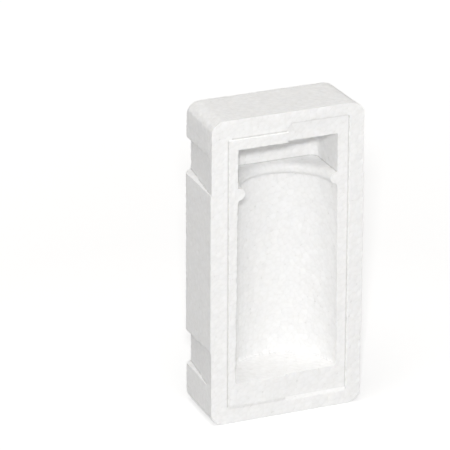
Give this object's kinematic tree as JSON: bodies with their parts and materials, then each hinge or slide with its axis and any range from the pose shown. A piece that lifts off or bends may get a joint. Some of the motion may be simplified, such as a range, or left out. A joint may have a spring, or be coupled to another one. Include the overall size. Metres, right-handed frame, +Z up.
{
  "type": "foam bottle shipper insert",
  "caption": "Moulded foam half shell that cradles a round bottle lying against its parting face, with a stepped interlocking rim and side relief channels.",
  "frame": {"origin": "middle of the base, under the centre of the overall depth", "axes": "+Z up along the bottle, +Y from the open parting face to the closed back, +X to the right seen from the open side"},
  "size_m": [0.094, 0.0422, 0.185],
  "materials": {
    "foam": "white moulded bead foam, matt, with fine bead marks"
  },
  "bodies": {
    "root": {"foam_half": "foam"}
  },
  "joints": []
}
